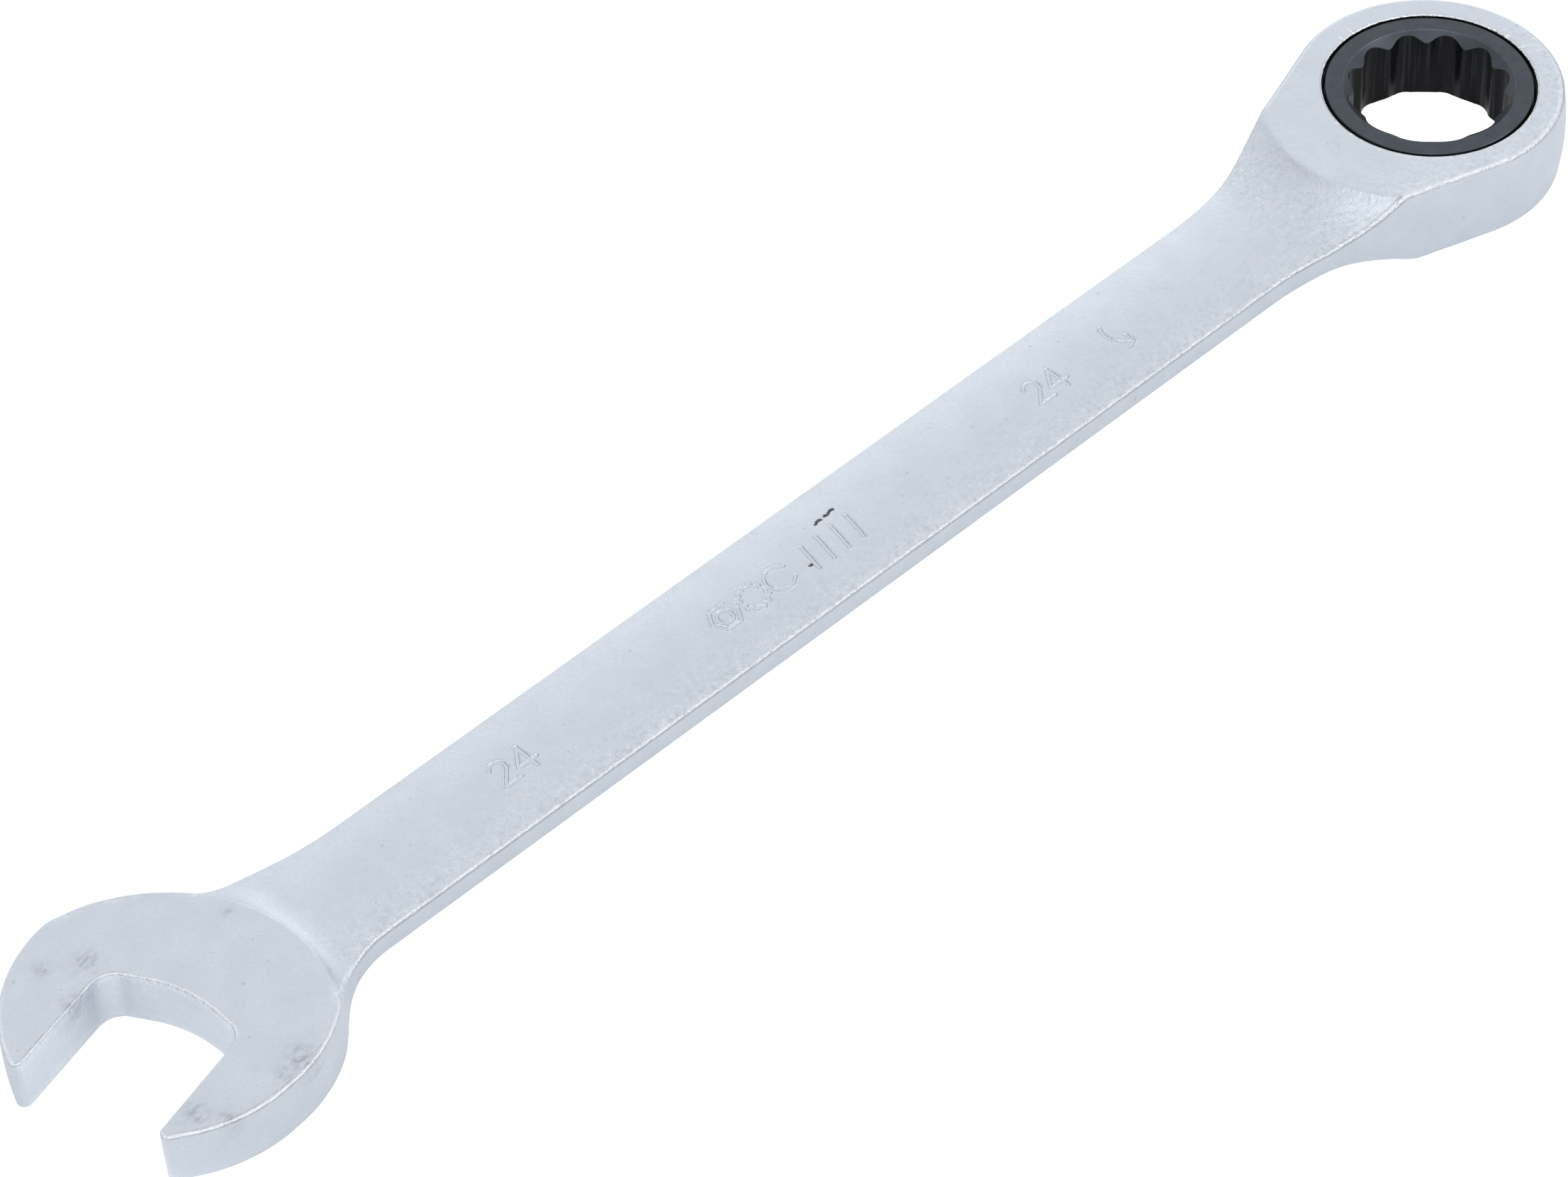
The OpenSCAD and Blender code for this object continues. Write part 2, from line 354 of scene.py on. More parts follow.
def pressed_depth(points):
    """How deep the marks and dings are at each point of the upper face."""
    depth = np.zeros(len(points))
    zone = mark_zone(points)
    for strokes, flat_w, half_w, deepest in (
        (MARK_STROKES, MARK_FLAT_W, MARK_HALF_W, MARK_DEPTH),
        (DINGS, 0, DING_HALF_W, DING_DEPTH),
    ):
        distance = stroke_distance(points[zone], strokes)
        share = np.clip((distance - flat_w) / (half_w - flat_w), 0, 1)
        depth[zone] += deepest * (1 - share ** 2 * (3 - 2 * share))
    return depth


# ---- Heights of the upper face ----

def head_share(beyond, top, slope_r):
    """1 on a head's flat face, falling to 0 along the hollow slope past the flat's edge."""
    drop = top - EDGE_Z
    run = math.sqrt(slope_r ** 2 - (slope_r - drop) ** 2)
    left = np.clip(run - beyond, 0, 0.999 * slope_r)
    share = (slope_r - np.sqrt(slope_r ** 2 - left ** 2)) / drop
    blend = np.clip((FLAT_EDGE_BLEND - abs(share - 1)) / FLAT_EDGE_BLEND, 0, 1)
    return np.minimum(share, 1) - FLAT_EDGE_BLEND / 4 * blend ** 2


def past_ring_flat(points, side=1):
    """Distance past the edge of the ring's flat face, on the handle's side."""
    edge_r = RING_FLAT_R - (UNDER_FLAT_CUT if side < 0 else 0)
    return abs(np.minimum(points.real, 0) + 1j * points.imag - RING_FLAT_CENTRE) - edge_r


def past_jaw_flat(points):
    return abs(points - JAW - JAW_FLAT_OFFSET) - JAW_FLAT_R


def face_height(points, depth, side):
    """Height of a face, where depth is the distance of each point from the outline."""
    crown = EDGE_Z + CROWN_RISE * (1 - (1 - np.minimum(depth / HANDLE_HALF_W, 1)) ** 2)
    ring = head_share(past_ring_flat(points, side), RING_TOP, RING_SLOPE_R)
    jaw = head_share(past_jaw_flat(points), JAW_TOP, JAW_SLOPE_R)
    return crown + (RING_TOP - crown) * ring + (JAW_TOP - crown) * jaw


def waviness(points, side):
    """Slight unevenness, fading out on the ground faces of the heads."""
    hills = np.array([noise.noise(Vector((p.real, p.imag, side * 50)) / WAVE_LENGTH)
                      for p in points])
    free = np.clip((past_ring_flat(points) + 2) / 8, 0, 1)
    return WAVE * free * hills


# ---- Mesh assembly ----

class Shell:
    """Points in millimetres and faces of one closed surface, gathered part by part."""

    def __init__(self):
        self.points = []
        self.faces = []

    def add(self, plan, z):
        first = len(self.points)
        heights = np.broadcast_to(z, plan.shape)
        self.points += [(p.real, p.imag, h) for p, h in zip(plan, heights)]
        return np.arange(first, first + len(plan))

    def band(self, low, high):
        """Quads from one closed ring of points to the next."""
        self.faces += zip(low, np.roll(low, -1), np.roll(high, -1), high)

    def loft(self, rings):
        for low, high in zip(rings, rings[1:]):
            self.band(low, high)

    def piece(self, name, smooth_below=SMOOTH_BELOW):
        mesh = bpy.data.meshes.new(name)
        points = [Vector(p) * MM for p in self.points]
        mesh.from_pydata(points, [], [[int(i) for i in f] for f in self.faces])
        mesh.validate()
        shade(mesh, smooth_below)
        piece = bpy.data.objects.new(name, mesh)
        bpy.context.scene.collection.objects.link(piece)
        return piece


def shade(mesh, smooth_below):
    """Smooth shading, with sharp edges where faces meet at more than smooth_below degrees."""
    mesh.shade_smooth()
    mesh.set_sharp_from_angle(angle=math.radians(smooth_below))


def hex_grid(low, high, step):
    """Points of a triangular grid between two corners."""
    rows = np.arange(low.imag, high.imag, step * math.sqrt(3) / 2)
    columns = np.arange(low.real, high.real, step)
    shift = np.arange(len(rows)) % 2 * step / 2
    return (columns[None, :] + shift[:, None] + 1j * rows[:, None]).ravel()


def mark_points():
    """Fine grid points along the strokes of the marks."""
    grids = []
    for strokes in (*[[centre + s for s in strokes] for centre, strokes in MARKS], DINGS):
        every = np.concatenate(strokes)
        margin = (1 + 1j) * MARK_REACH
        low = every.real.min() + 1j * every.imag.min() - margin
        high = every.real.max() + 1j * every.imag.max() + margin
        grid = hex_grid(low, high, MARK_GRID)
        grids.append(grid[stroke_distance(grid, strokes) < MARK_REACH])
    return np.concatenate(grids)


def crease_points():
    """Rows of points along the edges of the heads' flat faces, to keep those edges crisp."""
    rows = []
    for centre, r in ((RING_FLAT_CENTRE, RING_FLAT_R), (JAW + JAW_FLAT_OFFSET, JAW_FLAT_R)):
        turns = np.arange(0, 2 * np.pi, SLOPE_GRID / r)
        rows += [centre + (r + step) * np.exp(1j * turns) for step in (-CREASE_ROW, 0, CREASE_ROW)]
    return np.concatenate(rows)


def face_points(outline, margin, marked):
    """Points inside the outline, closer together on the slopes and around the marks."""
    low = outline.real.min() + 1j * outline.imag.min()
    high = outline.real.max() + 1j * outline.imag.max()
    coarse, fine = hex_grid(low, high, GRID), hex_grid(low, high, SLOPE_GRID)

    def on_slope(points):
        ring, jaw = past_ring_flat(points), past_jaw_flat(points)
        on_ring = (ring > -SLOPE_MARGIN) & (ring < RING_SLOPE_RUN)
        return on_ring | ((jaw > -SLOPE_MARGIN) & (jaw < JAW_SLOPE_RUN))

    points = np.concatenate([coarse[~on_slope(coarse)], fine[on_slope(fine)]])
    off_crease = np.minimum(abs(past_ring_flat(points)), abs(past_jaw_flat(points)))
    points = np.concatenate([points[off_crease > 2 * CREASE_ROW], crease_points()])
    points = points[inside(points, outline)]
    if marked:
        clear = np.ones(len(points), bool)
        zone = mark_zone(points)
        strokes = MARK_STROKES + DINGS
        clear[zone] = stroke_distance(points[zone], strokes) > MARK_REACH + GRID / 4
        points = np.concatenate([points[clear], mark_points()])
    depth = segment_distance(points, outline, np.roll(outline, -1))
    keep = depth > margin
    return points[keep], depth[keep]


def inside(points, outline):
    """Which points lie inside a closed outline."""
    starts, ends = outline, np.roll(outline, -1)
    crossed = np.zeros(len(points), bool)
    for first in range(0, len(points), 2000):
        p = points[first:first + 2000, None]
        spans = (starts.imag > p.imag) != (ends.imag > p.imag)
        with np.errstate(divide="ignore", invalid="ignore"):
            rise = (p.imag - starts.imag) / (ends.imag - starts.imag)
            x = starts.real + rise * (ends.real - starts.real)
        crossed[first:first + 2000] = (spans & (p.real < x)).sum(axis=1) % 2 == 1
    return crossed


def add_face(shell, loop, mouth, outline, side, mouth_r, margin):
    """Fills between the outer loop and the bore's mouth with a triangulated face."""
    points, depth = face_points(outline, margin, marked=side > 0)
    clear = abs(points) > mouth_r + GRID / 3
    points, depth = points[clear], depth[clear]
    heights = face_height(points, depth, side) + waviness(points, side)
    if side > 0:
        heights -= pressed_depth(points)
    inner = shell.add(points, side * heights)
    used = np.concatenate([loop, mouth, inner])
    plan = [Vector(shell.points[i][:2]) for i in used]
    rings = [(i, (i + 1) % len(loop)) for i in range(len(loop))]
    rings += [(len(loop) + i, len(loop) + (i + 1) % len(mouth)) for i in range(len(mouth))]
    made, _, triangles, sources, _, _ = delaunay_2d_cdt(plan, rings, [], 1, 1e-6)
    back = [used[source[0]] for source in sources]
    for triangle in triangles:
        middle = sum((made[i] for i in triangle), Vector((0, 0))) / 3
        if middle.length > mouth_r * 0.9999:
            face = [back[i] for i in triangle]
            shell.faces.append(face if side > 0 else face[::-1])


def eased(values, rounds=30):
    """Values along a closed outline with their steps smoothed out."""
    for _ in range(rounds):
        values = (np.roll(values, 1) + 2 * values + np.roll(values, -1)) / 4
    return values


def edge_shape(outline):
    """Radius of the rounded edges, and bulge of the side wall, at each point of the outline."""
    radius = np.full(len(outline), HANDLE_EDGE)
    bulge = np.full(len(outline), HANDLE_BULGE)
    near_ring = outline.real > RING_END_X
    near_jaw = outline.real < JAW_END_X
    seat = (outline - JAW) / JAW_OUT
    machined = near_jaw & (abs(seat.imag) < JAW_HALF_GAP + 0.5) & (seat.real > -4)
    for where, r, b in (
        (near_ring, RING_EDGE, RING_BULGE), (near_jaw, JAW_EDGE, JAW_BULGE),
        (machined, MACHINED_EDGE, 0),
    ):
        radius[where], bulge[where] = r, b
    return eased(radius), eased(bulge)


def side_rings(shell, outline):
    """The side wall with its rounded edges, from the lower face's loop to the upper one's."""
    radius, bulge = edge_shape(outline)
    normal = inward(outline)
    rolls = np.radians(np.linspace(90, 0, 7))
    rings = []

    def rounded_edge(side, roll, past=0.0):
        offset = bulge + radius * (1 - math.cos(roll)) + past
        plan = outline + normal * offset
        return plan, side * (face_height(plan, offset, side) - radius * (1 - math.sin(roll)))

    rings.append(shell.add(*rounded_edge(-1, rolls[0], EDGE_ROW)))
    for roll in rolls:
        rings.append(shell.add(*rounded_edge(-1, roll)))
    edge = outline + normal * bulge
    for level in (-0.6, -0.2, 0.2, 0.6):
        wall_top = face_height(edge, bulge, np.sign(level)) - radius
        rings.append(shell.add(outline + normal * bulge * level ** 2, level * wall_top))
    for roll in rolls[::-1]:
        rings.append(shell.add(*rounded_edge(1, roll)))
    rings.append(shell.add(*rounded_edge(1, rolls[0], EDGE_ROW)))
    return rings


def bore_profile():
    """(radius, height) of the head's stepped bore, from the upper mouth to the lower one."""
    bore_r, lower_r = FLANGE_R + RUNNING_GAP, JOURNAL_R + RUNNING_GAP
    rolls = np.radians(np.linspace(0, 90, 5))
    mouth = [(bore_r + BORE_CHAMFER * (1 - math.sin(roll)),
              RING_TOP - BORE_CHAMFER * (1 - math.cos(roll))) for roll in rolls]
    return mouth + [
        (bore_r, CLIP_Z + GROOVE_HALF), (HEAD_GROOVE_R, CLIP_Z + GROOVE_HALF),
        (HEAD_GROOVE_R, CLIP_Z - GROOVE_HALF), (bore_r, CLIP_Z - GROOVE_HALF),
        (bore_r, LIP_TOP), (lower_r, LIP_TOP),
        (lower_r, -RING_TOP + BORE_CHAMFER / 2), (lower_r + BORE_CHAMFER / 2, -RING_TOP),
    ]


def pawl_pocket():
    """A cutter for the pawl's pocket and the blind hole of its spring."""
    shell = Shell()
    front, low = -JOURNAL_R, LIP_TOP - 0.01
    box = np.array([-POCKET_BACK - 1j * POCKET_HALF_W, front - 1j * POCKET_HALF_W,
                    front + 1j * POCKET_HALF_W, -POCKET_BACK + 1j * POCKET_HALF_W])
    lower, upper = shell.add(box, low), shell.add(box, POCKET_TOP)
    shell.band(lower, upper)
    shell.faces += [lower[::-1], upper]
    pocket = shell.piece("pocket_cutter")
    hole = Shell()
    turns = polar(SPRING_HOLE_R, np.arange(0, 360, 15))
    for x in (1 - POCKET_BACK, -SPRING_BACK):
        hole.points += [(x, p.real, p.imag + PAWL_Z) for p in turns]
    count = len(turns)
    front_ring, back_ring = np.arange(count), np.arange(count, 2 * count)
    hole.band(back_ring, front_ring)
    hole.faces += [front_ring, back_ring[::-1]]
    return pocket, hole.piece("spring_hole_cutter")


def cut(piece, cutter):
    """Takes the cutter's volume out of a piece, and removes the cutter."""
    modifier = piece.modifiers.new("cut", "BOOLEAN")
    modifier.solver = "MANIFOLD"
    modifier.operation = "DIFFERENCE"
    modifier.object = cutter
    bpy.context.view_layer.update()
    graph = bpy.context.evaluated_depsgraph_get()
    mesh = bpy.data.meshes.new_from_object(piece.evaluated_get(graph))
    piece.modifiers.clear()
    piece.data = mesh
    bpy.data.objects.remove(cutter)


def build_body():
    outline = wrench_outline()
    shell = Shell()
    rings = side_rings(shell, outline)
    shell.loft(rings)
    turns = np.arange(BORE_SEGMENTS) * 360 / BORE_SEGMENTS
    bore = [shell.add(polar(r, turns), z) for r, z in bore_profile()]
    shell.loft(bore)
    margin = RING_EDGE + RING_BULGE + EDGE_ROW + GRID / 3
    for side, loop, mouth in ((1, rings[-1], bore[0]), (-1, rings[0], bore[-1])):
        mouth_r = abs(complex(*shell.points[mouth[0]][:2]))
        add_face(shell, loop, mouth, outline, side, mouth_r, margin)
    body = shell.piece("forged_body")
    for cutter in pawl_pocket():
        cut(body, cutter)
    shade(body.data, SMOOTH_BELOW)
    return body


# ---- Drive ring ----

def twelve_point_outline():
    """The opening for the nut: twelve round notches with a soft hump between each two."""
    path = []
    for notch in DRIVE_TURN + 30 * np.arange(12):
        path += [(polar(NOTCH_CORNER_R, notch), NOTCH_ROUND_R),
                 (polar(HUMP_CORNER_R, notch + 15), HUMP_ROUND_R)]
    return rounded(path)


def radius_at(outline, degrees):
    """Radius of a star-shaped outline at each angle."""
    angles = np.degrees(np.angle(outline))
    order = np.argsort(angles)
    return np.interp((degrees + 180) % 360 - 180, angles[order], abs(outline)[order], period=360)


def tooth_radius(degrees):
    """Radius of the ratchet teeth at each angle, with a short flat on each tip and root."""
    pitch = 360 / TEETH
    flat = 0.06
    phase = degrees / pitch % 1
    return np.interp(phase, [flat, 0.5 - flat, 0.5 + flat, 1 - flat],
                     [TOOTH_ROOT_R, TOOTH_TIP_R, TOOTH_TIP_R, TOOTH_ROOT_R])


def build_drive_ring():
    count = TEETH * COLUMNS_PER_TOOTH
    turns = np.arange(count) * 360 / count
    bore = radius_at(twelve_point_outline(), turns)
    teeth = tooth_radius(turns)
    bevel, rim_bevel = 0.08, 0.12

    def lead_in(mouth, end, way):
        """Sections from a lead-in's mouth in an end face to the opening's wall; way is +-1 in z."""
        mouth = np.maximum(mouth, bore + 2 * bevel)
        edge = (mouth - bore - bevel) / LEAD_IN_SLOPE + bevel
        return [(mouth + bevel, end), (mouth, end + way * bevel),
                (bore + bevel, end + way * edge), (bore, end + way * (edge + bevel))]

    shoulder = CLIP_Z - GROOVE_HALF
    sections = [
        (JOURNAL_R - bevel, GEAR_BOTTOM), (JOURNAL_R, GEAR_BOTTOM + bevel),
        (JOURNAL_R, TEETH_BOTTOM), (teeth, TEETH_BOTTOM), (teeth, FLANGE_BOTTOM),
        (FLANGE_R, FLANGE_BOTTOM), (FLANGE_R, shoulder), (RIM_R, shoulder),
        (RIM_R, GEAR_TOP - rim_bevel), (RIM_R - rim_bevel, GEAR_TOP),
        *lead_in(TOP_LEAD_IN_R, GEAR_TOP, -1), (bore, 0),
        *lead_in(BOTTOM_LEAD_IN_R, GEAR_BOTTOM, 1)[::-1],
    ]
    shell = Shell()
    spokes = np.exp(1j * np.radians(turns))
    rings = [shell.add(r * spokes, z) for r, z in sections]
    shell.loft(rings + rings[:1])
    piece = shell.piece("drive_ring", smooth_below=40)
    # Marks the opening's walls, whose colour the finish paints darker as shade.
    walls = np.repeat([r is bore for r, _ in sections], count)
    paint(piece, bore=walls)
    return piece


# ---- Pawl spring ----

def build_spring():
    """A coil of round wire with closed ends, lying along -X behind the pawl."""
    per_coil, sides = 32, 12
    steps = SPRING_COILS * per_coil
    share = np.arange(steps + 1) / steps
    closed_end = 0.75 / SPRING_COILS
    climb = np.clip((share - closed_end) / (1 - 2 * closed_end), 0, 1)
    climb = 0.9 * climb + 0.1 * share
    length = SPRING_BACK - SPRING_FRONT - 2 * SPRING_WIRE_R
    shell = Shell()
    around = 2 * np.pi * np.arange(sides) / sides
    rings = []
    for turn, rise in zip(2 * np.pi * share * SPRING_COILS, climb):
        r = SPRING_R + SPRING_WIRE_R * np.cos(around)
        x = -SPRING_FRONT - SPRING_WIRE_R - rise * length - SPRING_WIRE_R * np.sin(around)
        first = len(shell.points)
        shell.points += zip(x, r * math.cos(turn), r * math.sin(turn) + PAWL_Z)
        rings.append(np.arange(first, first + sides))
    shell.loft(rings)
    shell.faces += [rings[0][::-1], rings[-1]]
    return shell.piece("pawl_spring_coil", smooth_below=60)


# ---- Materials ----

class Nodes:
    """A short way to write a node tree: each call adds one node and returns an output."""

    def __init__(self, tree):
        self.tree = tree
        tree.nodes.clear()

    def add(self, kind, inputs=(), output=0, **settings):
        node = self.tree.nodes.new(kind)
        for name, value in settings.items():
            setattr(node, name, value)
        for key, value in dict(inputs).items():
            self.set(node.inputs[key], value)
        return node.outputs[output] if node.outputs else node

    def set(self, socket, value):
        if isinstance(value, bpy.types.NodeSocket):
            self.tree.links.new(value, socket)
        else:
            socket.default_value = value

    def math(self, operation, a, b=0.0):
        return self.add("ShaderNodeMath", {0: a, 1: b}, operation=operation)

    def plus(self, a, b):
        return self.math("ADD", a, b)

    def minus(self, a, b):
        return self.math("SUBTRACT", a, b)

    def times(self, a, b):
        return self.math("MULTIPLY", a, b)

    def attribute(self, name):
        """One of the numbers that paint() stores for each vertex."""
        return self.add("ShaderNodeAttribute", attribute_name=name, output=2)

    def ramp(self, value, low, high, to_low=0.0, to_high=1.0):
        """value eased from low..high to to_low..to_high, and held outside that range."""
        return self.add("ShaderNodeMapRange", {0: value, 1: low, 2: high, 3: to_low, 4: to_high},
                        interpolation_type="SMOOTHSTEP")

    def mix(self, share, a, b):
        """Colour a where share is 0, colour b where it is 1."""
        return self.add("ShaderNodeMix", {0: share, 6: a, 7: b}, output=2, data_type="RGBA")

    def noise(self, where, scale, detail=2.0, roughness=0.5):
        """Cloudy noise; its features are about 1 / scale wide."""
        return self.add("ShaderNodeTexNoise", {
            "Vector": where, "Scale": scale, "Detail": detail, "Roughness": roughness})

    def millimetres(self, stretch=(1, 1, 1), turn=0.0):
        """Object coordinates in millimetres, turned about Z and stretched."""
        where = self.add("ShaderNodeTexCoord", output=3)
        scale = [s / MM for s in stretch]
        return self.add("ShaderNodeMapping", {
            "Vector": where, "Rotation": (0, 0, math.radians(turn)), "Scale": scale})

    def bump(self, height, distance, normal=None):
        """Surface relief of the given depth in millimetres, on top of an earlier relief."""
        inputs = {"Strength": 1.0, "Distance": distance * MM, "Height": height}
        if normal is not None:
            inputs["Normal"] = normal
        return self.add("ShaderNodeBump", inputs)


def new_material(name):
    material = bpy.data.materials.new(name)
    material.use_nodes = True
    return material, Nodes(material.node_tree)


def surface(nodes, **inputs):
    """Ends a material in one Principled surface."""
    keys = {key.replace("_", " "): value for key, value in inputs.items()}
    shader = nodes.add("ShaderNodeBsdfPrincipled", keys)
    nodes.add("ShaderNodeOutputMaterial", {"Surface": shader})


def rgb(r, g, b):
    return (r, g, b, 1)


CHROME_COOL, CHROME_CLEAR = rgb(0.605, 0.655, 0.725), rgb(0.635, 0.685, 0.755)
CHROME_PATCH = rgb(0.66, 0.705, 0.77)
CHROME_BRIGHT, CHROME_DARK = rgb(0.86, 0.89, 0.93), rgb(0.42, 0.46, 0.52)
# Near-white painted highlight for the edges, the walls of the pressed marks and the bore's mouth,
# partly polish from wear.
CHROME_POLISH_HIGHLIGHT = rgb(0.90, 0.93, 0.98)
PIT_GREY, SMEAR_GREY = rgb(0.36, 0.38, 0.42), rgb(0.28, 0.30, 0.34)
# Near black for the dings' stains, and for painted shade on the bore's wall.
STAIN_AND_SHADE_BLACK = rgb(0.03, 0.032, 0.036)


def chrome_tone(n, specks, mottle, patches, pit, smear):
    """Colour of the chrome, from its clouds and specks up to its smears and stains, with painted
    highlight on its edges, painted glints where it is worn and painted shade in the bore.
    """
    edge, worn = n.attribute("edge"), n.attribute("worn")
    crowd = n.plus(n.times(worn, 0.04), n.ramp(mottle, 0.45, 0.7, 0.0, 0.03))
    bright = n.ramp(n.plus(specks, crowd), 0.62, 0.70)
    dark = n.ramp(n.minus(specks, crowd), 0.38, 0.30)
    # Worn zones: dark and bright flecks that are partly wear, partly painted glints and painted
    # shade.
    dent_shade = n.times(worn, n.ramp(patches, 0.46, 0.36, 0.0, 0.45))
    rise = n.times(worn, n.ramp(patches, 0.55, 0.67, 0.0, 0.45))
    # Painted highlight along the edges, mark walls and bore mouth, partly polish from wear.
    polish_and_highlight = n.times(edge, n.ramp(patches, 0.35, 0.55, 0.25, 0.5))
    broken = n.times(n.minus(specks, 0.5), 2.2)
    black = n.ramp(n.plus(n.attribute("stain"), broken), 0.35, 0.65, 0.0, 0.9)
    tone = n.mix(n.ramp(mottle, 0.3, 0.7), CHROME_COOL, CHROME_CLEAR)
    for share, colour in (
        (n.ramp(patches, 0.3, 0.7, 0.0, 0.3), CHROME_PATCH),
        (n.times(bright, 0.6), CHROME_BRIGHT), (n.times(dark, 0.3), CHROME_DARK),
        (dent_shade, CHROME_DARK), (rise, CHROME_BRIGHT), (polish_and_highlight, CHROME_POLISH_HIGHLIGHT),
        (n.times(pit, 0.35), PIT_GREY), (n.times(smear, 0.8), SMEAR_GREY), (black, STAIN_AND_SHADE_BLACK),
    ):
        tone = n.mix(share, tone, colour)
    return tone


def chrome_relief(n, grain, specks, patches, pit, smear, scratch):
    """Fine relief of the chrome, deeper where it is worn and along its edges."""
    rough_part = n.plus(n.plus(n.attribute("edge"), n.attribute("worn")), 0.25)
    normal = n.bump(grain, 0.022)
    normal = n.bump(n.times(patches, rough_part), 0.24, normal)
    normal = n.bump(n.times(specks, rough_part), 0.02, normal)
    normal = n.bump(n.times(n.plus(pit, smear), -1.0), 0.03, normal)
    return n.bump(scratch, 0.004, normal)


def satin_chrome():
    """Bead-blasted chrome: fine grain, bright and dark specks, pits, hairlines, worn edges, and
    painted highlight along the edges with painted glints in the worn zones.
    """
    material, n = new_material("satin_chrome_finish")
    place = n.millimetres()
    grain = n.noise(place, 2.6, 3.0, 0.6)
    specks = n.noise(place, 4.2, 2.0, 0.6)
    mottle = n.noise(place, 0.2, 3.0, 0.5)
    patches = n.noise(place, 1.1, 3.0, 0.6)
    pits = n.add("ShaderNodeTexVoronoi", {"Vector": place, "Scale": 0.55, "Randomness": 1.0})
    pit_size = n.noise(place, 0.33, 1.0)
    pit = n.math("LESS_THAN", pits, n.ramp(pit_size, 0.5, 0.75, 0.0, 0.16))
    hairline = n.noise(n.millimetres((0.05, 3.2, 1), 24), 1.0, 2.0)
    scratch = n.ramp(hairline, 0.66, 0.70)
    smears = n.noise(n.millimetres((0.8, 1.5, 1), -20), 0.8, 4.0, 0.65)
    smear = n.times(n.ramp(smears, 0.38, 0.72, 0.1, 1.0), n.attribute("smudge"))
    roughness = n.ramp(grain, 0.3, 0.7, 0.36, 0.48)
    surface(n, Base_Color=chrome_tone(n, specks, mottle, patches, pit, smear), Metallic=1.0,
            Roughness=n.minus(roughness, n.times(scratch, 0.05)),
            Normal=chrome_relief(n, grain, specks, patches, pit, smear, scratch))
    return material


def black_phosphate():
    """Dark phosphated steel: matt on top with a painted highlight ring at the lead-in's mouth,
    shinier with broached lines in the bore, where the colour is painted darker as shade.
    """
    material, n = new_material("black_phosphate_finish")
    place = n.millimetres()
    grain = n.noise(place, 5.0, 3.0, 0.6)
    mottle = n.noise(place, 0.5, 3.0, 0.55)
    streaks = n.noise(n.millimetres((1.5, 1.5, 0.07)), 1.0, 3.0)
    bore = n.attribute("bore")
    radius = n.add("ShaderNodeVectorMath", {0: n.millimetres((1, 1, 0))}, output=1,
                   operation="LENGTH")
    to_mouth = n.math("ABSOLUTE", n.minus(radius, TOP_LEAD_IN_R))
    # A lighter ring painted at the lead-in's mouth: a painted highlight on that edge.
    mouth_highlight = n.times(n.ramp(to_mouth, 0.14, 0.04), n.ramp(grain, 0.35, 0.6))
    tone = n.mix(n.ramp(mottle, 0.3, 0.7), rgb(0.056, 0.066, 0.083), rgb(0.068, 0.079, 0.097))
    tone = n.mix(n.times(mouth_highlight, 0.5), tone, rgb(0.16, 0.18, 0.20))
    # Painted shade: the bore's walls get a much darker colour, streaked along the broaching lines.
    shaded_bore_tone = n.mix(n.ramp(streaks, 0.5, 0.75), rgb(0.012, 0.013, 0.016), rgb(0.045, 0.049, 0.056))
    tone = n.mix(bore, tone, shaded_bore_tone)
    matt = n.ramp(grain, 0.3, 0.7, 0.3, 0.42)
    normal = n.bump(n.times(streaks, bore), 0.008, n.bump(grain, 0.01))
    surface(n, Base_Color=tone, Metallic=0.75, Normal=normal,
            Roughness=n.minus(matt, n.times(bore, 0.12)))
    return material


def tool_steel():
    """Ground and hardened steel with straight grinding lines."""
    material, n = new_material("tool_steel_finish")
    lines = n.noise(n.millimetres((0.3, 6.0, 6.0)), 1.0, 3.0)
    tone = n.mix(n.ramp(lines, 0.3, 0.7), rgb(0.24, 0.25, 0.27), rgb(0.34, 0.35, 0.37))
    surface(n, Base_Color=tone, Metallic=1.0, Roughness=n.ramp(lines, 0.3, 0.7, 0.28, 0.4),
            Normal=n.bump(lines, 0.01))
    return material


def spring_steel():
    """Drawn wire with fine mottle in its tone and relief, and an oiled sheen."""
    material, n = new_material("spring_steel_finish")
    lines = n.noise(n.millimetres((8.0, 8.0, 8.0)), 1.0, 2.0)
    tone = n.mix(n.ramp(lines, 0.3, 0.7), rgb(0.42, 0.43, 0.45), rgb(0.56, 0.57, 0.59))
    surface(n, Base_Color=tone, Metallic=1.0, Roughness=n.ramp(lines, 0.3, 0.7, 0.2, 0.32),
            Normal=n.bump(lines, 0.006))
    return material


def blackened_wire():
    """Spring wire with a black oxide finish, rubbed a little brighter in places."""
    material, n = new_material("blackened_wire_finish")
    place = n.millimetres()
    rubbed = n.noise(place, 0.8, 3.0, 0.6)
    grain = n.noise(place, 6.0, 2.0)
    tone = n.mix(n.ramp(rubbed, 0.5, 0.75), rgb(0.018, 0.019, 0.022), rgb(0.05, 0.053, 0.06))
    surface(n, Base_Color=tone, Metallic=0.8, Roughness=n.ramp(grain, 0.3, 0.7, 0.35, 0.5),
            Normal=n.bump(grain, 0.006))
    return material


def coordinates(piece):
    """The piece's vertices in millimetres: plan view points, and heights."""
    co = np.zeros(len(piece.data.vertices) * 3, np.float32)
    piece.data.vertices.foreach_get("co", co)
    co = co.reshape(-1, 3).astype(float) / MM
    return co[:, 0] + 1j * co[:, 1], co[:, 2]


def paint(piece, **layers):
    """Stores one number for each vertex under each name, for the materials to read."""
    for name, values in layers.items():
        attribute = piece.data.attributes.new(name, "FLOAT", "POINT")
        attribute.data.foreach_set("value", np.asarray(values, np.float32))


CAMERA_FACING = -0.66 - 0.75j        # the plan direction toward the camera; edges that face it get the strongest painted highlight


